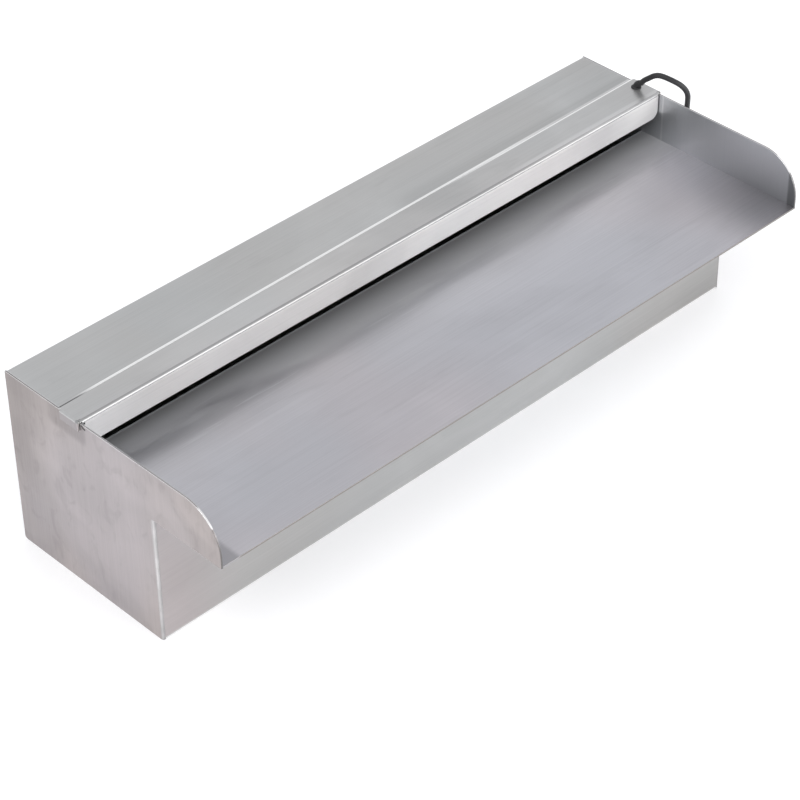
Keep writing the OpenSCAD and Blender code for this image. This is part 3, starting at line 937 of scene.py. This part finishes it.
before_edges = len(shell.modifiers) - 2    # the hole is cut before the edges are rounded
shell.modifiers.move(len(shell.modifiers) - 1, before_edges)
even_normals(shell)
sheet_finishes(shell, shell_steel)
shell = finish_stack(shell)
bpy.data.objects.remove(drill)
bpy.data.meshes.remove(drill_mesh)
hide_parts("tank_shell")
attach(shell, "tank")


# ---- end panels ----
# A flat sheet closes each end of the tank, and runs on in front as the tray's cheek, with a round upper
# corner. It is cloudy from handling, and ground bright in a narrow band where the corner weld was dressed. Its
# steel is painted darker than the shell's, with painted shade and highlights on the rim, inside the cheek
# and under the cover's tab.

cheek_r = 34 * MM
panel_front = front_y + sheet_t
arc_steps = 16
fold_steps = 6
ground_w = 2.6 * MM
ground_blur = 1 * MM
tab_h = 8 * MM
tab_low = cover_high.z - tab_h
hook_shade_r = 2.8 * MM


def arc(centre, radius, start, turn=90, steps=arc_steps):
    """Points round part of a circle, from an angle on, in degrees."""
    angles = [math.radians(start + turn * k / steps) for k in range(steps + 1)]
    return [(centre[0] + radius * math.cos(a), centre[1] + radius * math.sin(a)) for a in angles]


def panel_outline():
    """The panel's outline as (y, z), anticlockwise when the lip is on the left."""
    low_front = (front_y + shell_fold, shell_fold)
    dip = math.degrees(math.acos((shell_fold - sheet_t) / shell_fold))
    points = arc(low_front, shell_fold, 180 + dip, 90 - dip, fold_steps)
    points += arc((back_y - shell_fold, shell_fold), shell_fold, 270, 90, fold_steps)
    points += [(back_y, tank_h)]
    points += arc((lip_y + cheek_r, tank_h - cheek_r), cheek_r, 90)
    points += [(lip_y, tray_under), (panel_front, tray_under)]
    return points


def panel_steel(side):
    """Warm and cloudy outside, darker at the back, with a painted shadow under the tab; cooler inside the
    cheek.
    """
    # Its base colour is darker than the shell's, as painted shade on the ends.
    made = Steel(
        "left panel steel" if side < 0 else "right panel steel", (0.440, 0.405, 0.414, 1),
        (0.457, 0.410, 0.399, 1), turn=(0, math.radians(90), 0), line=(60 * MM, 0.7 * MM), scratches=0.08,
        patches=10, contrast=0.012, clouded=0.10, roughness=0.42, bump=0.002 * MM,
    )
    tree, y, z = made.tree, made.axis("Y"), made.axis("Z")
    outward = maths(tree, "MULTIPLY", made.axis("X"), side)

    inside = span(tree, outward, blade_half - 1.2 * MM, blade_half - 0.8 * MM, 1, 0)
    made.paint(inside, (0.512, 0.525, 0.545, 1))
    # Painted highlight: a thin light line down the cheek's inner face.
    cheek_highlight_line = span(tree, maths(tree, "ABSOLUTE", y), 0.4 * MM, 1.3 * MM, 0.3, 0)
    made.paint(made.product(cheek_highlight_line, inside), (0.9, 0.9, 0.9, 1))

    at_back = made.product(made.along("Y", 0.035, 0.085), made.along("Z", 0.02, 0.13, 0.06, 0.30))
    high_front = made.product(made.along("Y", -0.065, -0.035, 1, 0), made.along("Z", 0.07, 0.1))
    # Painted shadow under the cover's tab.
    under_tab = made.product(
        made.along("Z", tab_low - 16 * MM, tab_low - 6 * MM),
        made.along("Y", cover_low.y - 8 * MM, cover_low.y - 1 * MM), made.along("Y", 0.032, 0.045, 1, 0.3),
    )
    outer_tone = made.product(
        maths(tree, "SUBTRACT", 1, at_back), made.along("Z", 0.03, 0.12, 0.95, 1.03),
        made.where(high_front, 0.93), made.where(under_tab, 0.76),
    )
    # Painted shade on the cheek's inner face, changing along the cheek and with height.
    tilt = made.product(maths(tree, "SUBTRACT", z, 0.13), made.along("Y", -0.1, -0.03, 15, 0))
    inner_tone = made.product(
        made.along("Y", -0.055, -0.02, 0.81, 0.97), made.along("Y", -0.12, -0.08, 1.07, 1),
        maths(tree, "ADD", tilt, 1),
    )
    made.shade(mix_values(tree, inside, outer_tone, inner_tone))

    within = span(tree, outward, blade_half - 0.25 * MM, blade_half - 0.1 * MM, 1, 0)
    # Painted shade on the rim near the lip, and on the cut edge's flat.
    lip_rim = made.product(within, made.along("Y", lip_y + 6 * MM, lip_y + 9 * MM, 1, 0))
    made.shade(made.where(lip_rim, 0.5))
    cut_edge = made.product(within, span(tree, outward, blade_half - 1.4 * MM, blade_half - 1.2 * MM))
    made.shade(made.where(cut_edge, 0.8))
    # Painted highlight on the rim of the cheek's rounded front, lighter and less mirror-like.
    rim_highlight = made.product(cut_edge, made.along("Y", lip_y + 7 * MM, lip_y + 8.5 * MM),
                          made.along("Y", lip_y + 20 * MM, lip_y + 23 * MM, 1, 0))
    made.paint(rim_highlight, (0.60, 0.59, 0.59, 1))
    by_slot = made.product(inside, made.along("Y", -0.09, -0.03, 0, 0.1))
    made.dull(maths(tree, "MAXIMUM", rim_highlight, by_slot), 0.9, 0.2)

    # Painted shade: a dark hook on the outer face by the front of the cover's tab.
    from_hook_shade = {1: y, 2: maths(tree, "SUBTRACT", z, tank_h)}
    hook_shade = made.product(
        made.ring_mark(from_hook_shade, hook_shade_r, 0.55 * MM, 0.95 * MM), made.along("Y", -1.2 * MM, -0.6 * MM),
        made.where(within, 0),
    )
    made.paint(hook_shade, (0.03, 0.03, 0.03, 1))

    reach = maths(tree, "ADD", maths(tree, "SUBTRACT", y, front_y), made.ragged(1 * MM, made.place, 12 * MM))
    width = made.along("Z", 0.01, tray_under, ground_w * 0.5, ground_w)
    ground = made.product(
        span(tree, maths(tree, "SUBTRACT", reach, width), -ground_blur, ground_blur, 1, 0),
        made.along("Z", tray_under - 2 * MM, tray_under - 0.5 * MM, 1, 0), made.along("Z", 0, 0.05, 0.3, 1),
    )
    made.paint(ground, (0.52, 0.50, 0.505, 1))
    return made.done()


for side, hand in ((-1, "left"), (1, "right")):
    points = [(side * blade_half, y, z) for y, z in panel_outline()]
    panel = mesh_piece(hand + "_cheek_panel", points, [tuple(range(len(points)))[::side]])
    thicken(panel, sheet_t)
    bevel(panel, edge_r, 2, angle=50, material=2)
    even_normals(panel)
    sheet_finishes(panel, panel_steel(side))
    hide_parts(hand + "_end_panel")
    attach(panel, "tank")


# ---- corner welds ----
# A bead fills the notch at each front corner of the tank, ground flush and rounded. Faint ripples of the weld
# still show along it.

weld_r = sheet_t + 0.03 * MM
weld_lap = 0.5 * MM
weld_foot = 0.9 * MM
weld_rows = 90
weld_ripple = 0.06 * MM
ripple_turn = 2.1    # radians from one row to the next
ripple_drift = 0.37
weld_sides = 7


def corner_weld(side):
    """A quarter-round bead up the corner, with its heel inside the notch."""
    rings = []
    quarter = [math.radians(90 * k / weld_sides) for k in range(weld_sides + 1)]
    for i in range(weld_rows + 1):
        z = weld_foot + (tray_under - weld_foot) * i / weld_rows
        ripple = (0.5 + 0.5 * math.sin(i * ripple_turn)) * (0.6 + 0.4 * math.sin(i * ripple_drift))
        swell = weld_r - weld_ripple * ripple
        heel = Vector((side * (blade_half - sheet_t), front_y + sheet_t, z))
        points = [heel + Vector((side * swell * math.cos(a), -swell * math.sin(a), 0)) for a in quarter]
        over_panel = heel + Vector((side * weld_r, weld_lap, 0))
        over_wall = heel + Vector((-side * weld_lap, -weld_r, 0))
        rings.append([heel, over_panel] + points + [over_wall])
    return loft("left_corner_weld" if side < 0 else "right_corner_weld", rings)


def weld_finish():
    """Weld metal ground bright, a little darker on the front wall's side and towards the ground."""
    made = Steel("ground weld steel", (0.68, 0.66, 0.665, 1), (0.63, 0.62, 0.62, 1), line=(8 * MM, 0.5 * MM),
                 turn=(0, math.radians(90), 0), roughness=0.36, patches=60, clouded=0.1, metallic=0.85)
    from_middle = maths(made.tree, "ABSOLUTE", made.axis("X"))
    made.shade(span(made.tree, from_middle, blade_half - 0.9 * MM, blade_half - 0.3 * MM, 0.70, 0.92))
    made.shade(made.along("Z", 0, 0.06, 0.82, 1))
    return made.done()


weld_steel = weld_finish()
for side in (-1, 1):
    weld = corner_weld(side)
    weld.data.materials.append(weld_steel)
    even_normals(weld)
    if side < 0:
        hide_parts("corner_welds")
    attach(weld, "tank")


# ---- spill tray ----
# The tray's floor is a sheet that the water runs over: a plain lip in front, and a fold down at the weir. It
# is bluish and satin, and has long rubbing marks. Near the slot it has painted shade and is less mirror-like;
# painted shade also lies along the lip's cut edges and by the left cheek's corner, and painted light over the
# weir.

weir_y = floor_high.y
weir_bottom = floor_low.z
tray_fold = 3 * MM


def tray_finish():
    """Brushed along the blade, with rubbing marks; painted shade near the slot and lip, and painted light over
    the weir.
    """
    made = Steel("tray steel", (0.52, 0.52, 0.555, 1), (0.545, 0.515, 0.54, 1), line=(120 * MM, 0.8 * MM),
                 scratches=0.15, patches=6, contrast=0.035, clouded=0.05, roughness=0.36)
    tree = made.tree
    rubs = noise(tree, vectors(tree, "MULTIPLY", made.place, (16, 420, 420)), 1, 5, 0.4)
    rubs = made.product(span(tree, rubs, 0.60, 0.72), made.along("Y", lip_y + 0.1, front_y + 0.06), 0.5)
    made.paint(rubs, (0.72, 0.73, 0.76, 1))

    # Painted shade near the slot: a dark ragged band, rougher and less mirror-like.
    streaks = vectors(tree, "MULTIPLY", made.place, (14, 55, 55))
    reach = maths(tree, "ADD", made.axis("Y"), made.ragged(0.035, streaks, 1, 0.5))
    set_back = made.along("X", -0.27, -0.03, 0.014, 0.003)
    slot_shade = span(tree, maths(tree, "SUBTRACT", reach, set_back), -0.034, 0.004)
    made.paint(slot_shade, (0.33, 0.33, 0.34, 1))
    # Painted light over the weir's fold and down its face.
    made.paint(made.along("Y", 0.019, 0.021), (0.90, 0.90, 0.92, 1))
    made.polish(slot_shade, 0.55)
    made.dull(slot_shade, 0.9, 0.25)

    by_cheek = made.along("X", 0.22, 0.28)
    made.shade(mix_values(tree, by_cheek, 1, made.along("Y", -0.125, -0.03, 0.70, 1.28)))
    # Painted shade along the lip's cut edge.
    made.paint(made.along("Y", lip_y + 0.05 * MM, lip_y + 0.25 * MM, 1, 0), (0.22, 0.20, 0.19, 1))
    # Painted shadow on the tray at the left cheek's front corner.
    corner_shadow = made.product(made.along("X", -0.286, -0.281, 1, 0), made.along("Y", -0.114, -0.108, 1, 0))
    made.paint(corner_shadow, (0.36, 0.35, 0.37, 1))
    return made.done()


tray = folded("tray_floor", floor_high.x + edge_r, [
    (lip_y, tray_z, 0), (weir_y, tray_z, tray_fold), (weir_y, weir_bottom, 0),
], sheet_t)
even_normals(tray)
tray_steel = tray_finish()
# The tray's cut edges take a dark copy of the steel: painted shade along the lip.
lip_shade_steel = Steel("lip shade steel", (0.30, 0.28, 0.27, 1), (0.26, 0.25, 0.24, 1), line=(10 * MM, 0.4 * MM),
                  roughness=0.4, metallic=0.7).done()
sheet_finishes(tray, tray_steel, folds=tray_steel, edges=lip_shade_steel)
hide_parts("spill_floor")
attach(tray, "tank")


# ---- inlet stub ----
# A short drawn tube that the pond hose is pushed over, welded all round to the back wall.

pipe_r = 20 * MM
pipe_wall = 1.5 * MM
pipe_bore_r = pipe_r - pipe_wall
pipe_l = inlet_high.y - back_y
bead_w = 3 * MM
ripples = 64
steps_per_ripple = 5
bead_drift = 0.13
backwards = Matrix.Rotation(math.radians(-90), 4, "X")
pipe = turned("inlet_pipe", [
    (pipe_bore_r, pipe_l - 0.5 * MM), (pipe_bore_r + 0.5 * MM, pipe_l), (pipe_r - 0.6 * MM, pipe_l),
    (pipe_r, pipe_l - 0.6 * MM), (pipe_r, 0), (pipe_bore_r, 0), (pipe_bore_r, pipe_l - 0.5 * MM),
], 96)
even_normals(pipe)
pipe = put(pipe, inlet_axis, backwards)
pipe_steel = Steel("drawn pipe steel", (0.60, 0.60, 0.60, 1), (0.60, 0.59, 0.58, 1),
                   turn=(0, 0, math.radians(90)), line=(30 * MM, 0.5 * MM), roughness=0.33, patches=25).done()


def bead_ring(step):
    """Section of the fillet weld at one step round the pipe: a low mound in the corner, rippled along it."""
    ripple = math.sin(math.tau * (step % steps_per_ripple) / steps_per_ripple)
    reach = bead_w * (0.92 + 0.08 * ripple * (0.7 + 0.3 * math.sin(step * bead_drift)))
    section = [(pipe_r - 0.2 * MM, 0), (pipe_r + reach, 0), (pipe_r + 0.72 * reach, 0.42 * reach),
               (pipe_r + 0.40 * reach, 0.74 * reach), (pipe_r, reach), (pipe_r - 0.2 * MM, reach)]
    angle = math.tau * step / (ripples * steps_per_ripple)
    return [Vector((r * math.cos(angle), r * math.sin(angle), z)) for r, z in section]


bead = closed_loft("inlet_weld", [bead_ring(step) for step in range(ripples * steps_per_ripple)])
bead.data.shade_smooth()
bead = put(bead, inlet_axis, backwards)
bead_steel = Steel("weld bead steel", (0.62, 0.60, 0.56, 1), (0.50, 0.47, 0.50, 1), line=(2 * MM, 0.6 * MM),
                   roughness=0.3, patches=80, clouded=0.2).done()
for part, finish in ((pipe, pipe_steel), (bead, bead_steel)):
    part.data.materials.append(finish)
    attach(part, "tank")
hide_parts("inlet_stub")


# ---- baffle and its brackets ----
# A perforated sheet stands across the tank behind the weir and calms the water as it rises. Three small
# angles fix it down.

inner_steel = Steel("mill finish steel", (0.52, 0.52, 0.52, 1), (0.53, 0.52, 0.50, 1),
                    line=(50 * MM, 1.4 * MM), roughness=0.45, clouded=0.14).done()
refinish("baffle_plate", inner_steel)
refinish("baffle_brackets", inner_steel)


# ---- light cover ----
# A folded channel of 1.2 mm steel over the slot. A tab at each end hooks over the end panel, so it lifts
# straight off. The rear edge beside the seam is rolled round, with a painted highlight towards the right.

cover_slack = 1 * MM
rear_fold = 1.5 * MM
cover_front = cover_low.y
cover_top = cover_high.z
notch_middle = Vector((blade_half - 3.6 * MM, 0, cover_top - 6.4 * MM))
notch_r = 2.9 * MM


def merged_copy(node_name, name, flat_angle=0.3):
    """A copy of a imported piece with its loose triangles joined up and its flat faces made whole."""
    cage = bmesh.new()
    cage.from_mesh(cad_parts[node_name].data)
    bmesh.ops.remove_doubles(cage, verts=cage.verts, dist=0.002 * MM)
    bmesh.ops.dissolve_limit(cage, angle_limit=math.radians(flat_angle), verts=cage.verts, edges=cage.edges)
    mesh = bpy.data.meshes.new(name)
    cage.to_mesh(mesh)
    cage.free()
    mesh.materials.clear()
    return add_piece(name, mesh)


cover = merged_copy("light_cover", "cover_channel")
cage = bmesh.new()
cage.from_mesh(cover.data)
fold_weight = cage.edges.layers.float.new("bevel_weight_edge")
for face in cage.faces:
    slanted = 0.02 < abs(face.normal.z) < 0.98
    face.material_index = 1 if slanted and face.calc_center_median().z > cover_top - 3 * MM else 0
for edge in cage.edges:
    high = all(v.co.z > cover_top - 0.01 * MM for v in edge.verts)
    rear = all(v.co.y > seam_at(v.co.x) - cover_slack - 0.05 * MM for v in edge.verts)
    edge[fold_weight] = 1.0 if high and rear else 0.0
cage.to_mesh(cover.data)
cage.free()
bevel(cover, rear_fold, 5, by="WEIGHT", material=0, clamp=False)
bevel(cover, 0.16 * MM, 2, angle=40, material=2)
even_normals(cover)


def cover_finish():
    """Painted light in front, most to the right; painted shade on the tabs, warmer too, and black in the relief
    cuts.
    """
    made = Steel("cover steel", (0.52, 0.52, 0.52, 1), (0.53, 0.52, 0.515, 1), line=(110 * MM, 0.6 * MM),
                 scratches=0.08, patches=9, contrast=0.03, clouded=0.06, roughness=0.34, metallic=0.75)
    tree, x, z = made.tree, made.axis("X"), made.axis("Z")
    from_middle = maths(tree, "ABSOLUTE", x)

    # Painted light on the front face, most towards the right, with a painted highlight along its top.
    face = made.along("Y", cover_front + cover_t - 0.1 * MM, cover_front + cover_t + 0.6 * MM, 1, 0)
    face_tone = made.product(
        made.along("X", -0.06, 0.14, 1.28, 1.70), made.along("X", 0.2, 0.29, 1, 1.12),
        made.along("X", -0.29, -0.22, 1.14, 1),
        made.along("Z", cover_top - 6 * MM, cover_top - 3 * MM, 1, 1.08),
    )
    made.shade(mix_values(tree, face, 1, face_tone))
    made.tint(face, (1, 0.99, 0.965, 1))
    made.dull(made.product(face, made.along("X", 0.22, 0.29)), 0.75, 0.45)

    # Painted highlight on the top's front edge at the right.
    top_front = made.product(
        made.along("Y", cover_front + 4 * MM, cover_front + 8 * MM, 1, 0), made.along("X", 0.11, 0.16),
        maths(tree, "SUBTRACT", 1, face),
    )
    made.shade(made.where(top_front, 1.2))
    from_dim = maths(tree, "ABSOLUTE", maths(tree, "SUBTRACT", x, 0.05))
    made.shade(mix_values(tree, face, span(tree, from_dim, 0.02, 0.06, 0.89, 1), 1))
    # Painted shade on the tabs, warmer too.
    tab = span(tree, from_middle, blade_half + 0.9 * MM, blade_half + 1.1 * MM)
    made.tint(tab, (0.66, 0.61, 0.625, 1))
    # Painted highlight on the rolled rear edge, towards the right.
    rear_shine = made.product(made.near_seam(0, 3 * MM), made.along("X", 0.06, 0.16))
    made.paint(rear_shine, (0.96, 0.96, 0.95, 1))

    # Painted shade: black in the relief cuts at the cover's front corners.
    relief = made.product(
        span(tree, from_middle, blade_half - 2.6 * MM, blade_half - 2.2 * MM),
        span(tree, from_middle, blade_half + 0.2 * MM, blade_half + 0.5 * MM, 1, 0),
        made.along("Y", cover_front + 2 * MM, cover_front + 2.8 * MM, 1, 0),
    )
    made.paint(relief, (0.02, 0.02, 0.02, 1))
    # Painted shade: a black hook in the open corner by the left tab.
    from_notch = {0: maths(tree, "ADD", x, notch_middle.x), 2: maths(tree, "SUBTRACT", z, notch_middle.z)}
    notch = made.product(
        made.ring_mark(from_notch, notch_r, 0.7 * MM, 1.1 * MM),
        made.along("X", 0.5 * MM - notch_middle.x, 1 * MM - notch_middle.x, 1, 0), face,
    )
    made.paint(notch, (0.01, 0.01, 0.01, 1))
    return made.done()


sheet_finishes(cover, cover_finish())
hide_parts("light_cover")
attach(cover, "cover")


# ---- light ----
# A white strip of light chips lies in a clear acrylic tube, which hangs in four spring clips under the cover.
# Rubber-sealed caps close its ends, and the lead enters through the right one.

acrylic, acrylic_tree, acrylic_shader = new_material(
    "clear acrylic", Transmission_Weight=1.0, IOR=1.49, Metallic=0.0, Alpha=1.0,
)
haze = noise(acrylic_tree, object_place(acrylic_tree), 9 * MM, 3)
wire(
    acrylic_shader, Base_Color=mix(acrylic_tree, haze, (0.95, 0.97, 0.98, 1), (0.90, 0.93, 0.95, 1)),
    Roughness=span(acrylic_tree, haze, 0.3, 0.8, 0.03, 0.12),
)
refinish("light_tube", acrylic)
refinish("left_tube_cap", hard_black)
refinish("right_tube_cap", hard_black)
refinish("inner_lead", lead_sheath)

silicone = soft_black("red silicone", (0.36, 0.10, 0.06, 1), (0.44, 0.17, 0.12, 1), 0.45, 0.6 * MM, 0.01 * MM)
refinish("cap_seals", silicone)


def speckled(name, colour, other, patch, roughness, **values):
    """A hard small part in two close shades, with a little unevenness in its gloss."""
    made, tree, shader = new_material(name, **values)
    patches = noise(tree, object_place(tree), patch, 3)
    wire(
        shader, Base_Color=mix(tree, patches, colour, other),
        Roughness=span(tree, patches, 0.2, 0.8, roughness, roughness + 0.15),
        Normal=bumps(tree, patches, 0.01 * MM),
    )
    return made


solder_mask = speckled("white solder mask", (0.84, 0.83, 0.79, 1), (0.76, 0.75, 0.70, 1), 3 * MM, 0.35)
phosphor = speckled("yellow phosphor", (0.86, 0.74, 0.30, 1), (0.78, 0.64, 0.22, 1), 0.7 * MM, 0.15,
                    Coat_Weight=0.6, Coat_Roughness=0.05)
resistor_glaze = speckled("resistor glaze", (0.02, 0.02, 0.02, 1), (0.05, 0.05, 0.05, 1), 0.5 * MM, 0.3)
core_insulation = speckled("red core insulation", (0.50, 0.05, 0.03, 1), (0.42, 0.04, 0.03, 1), 1 * MM, 0.3)
clip_steel = Steel("spring clip steel", (0.58, 0.59, 0.60, 1), (0.56, 0.57, 0.58, 1),
                   line=(20 * MM, 0.6 * MM), roughness=0.3).done()
refinish("led_strip", solder_mask)
refinish("led_chips", phosphor)
refinish("led_resistors", resistor_glaze)
refinish("solder_wires", core_insulation)
refinish("tube_clips", clip_steel)


# ---- floor and light ----
# A pale studio floor, a bright even sky, and two soft lamps: one high at the left, and one in front.

floor_size = Vector((14, 14, 0.02))
floor_drop = 0.1 * MM
studio_floor = block("studio_floor", floor_size, Vector((0, 0, -floor_size.z / 2 - floor_drop)))
paper, paper_tree, paper_shader = new_material("pale paper", Roughness=0.9, Emission_Strength=0.2)
paper_shader.inputs["Emission Color"].default_value = (1, 1, 1, 1)
paper_fleck = noise(paper_tree, object_place(paper_tree), 0.4, 2)
wire(paper_shader, Base_Color=mix(paper_tree, paper_fleck, (0.93, 0.93, 0.93, 1), (0.91, 0.91, 0.915, 1)))
studio_floor.data.materials.append(paper)
studio_floor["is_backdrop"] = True

world = bpy.data.worlds.new("studio")
world.use_nodes = True
world.node_tree.nodes["Background"].inputs["Color"].default_value = (0.97, 0.98, 1.0, 1)
world.node_tree.nodes["Background"].inputs["Strength"].default_value = 0.85
scene.world = world
scene.view_settings.view_transform = "Standard"


def lamp(name, place, size, power, aim=Vector((0, 0, 0.1))):
    """A soft rectangular lamp that points at the blade."""
    data = bpy.data.lights.new(name, "AREA")
    data.shape = "RECTANGLE"
    data.size, data.size_y = size
    data.energy = power
    made = bpy.data.objects.new(name, data)
    made.location = place
    made.rotation_mode = "QUATERNION"
    made.rotation_quaternion = (aim - Vector(place)).to_track_quat("-Z", "Y")
    scene.collection.objects.link(made)


lamp("key_lamp", (-1.6, -1.0, 2.6), (2.0, 1.4), 26)
lamp("front_lamp", (0.9, -2.6, 0.7), (2.2, 1.0), 46)

low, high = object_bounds()
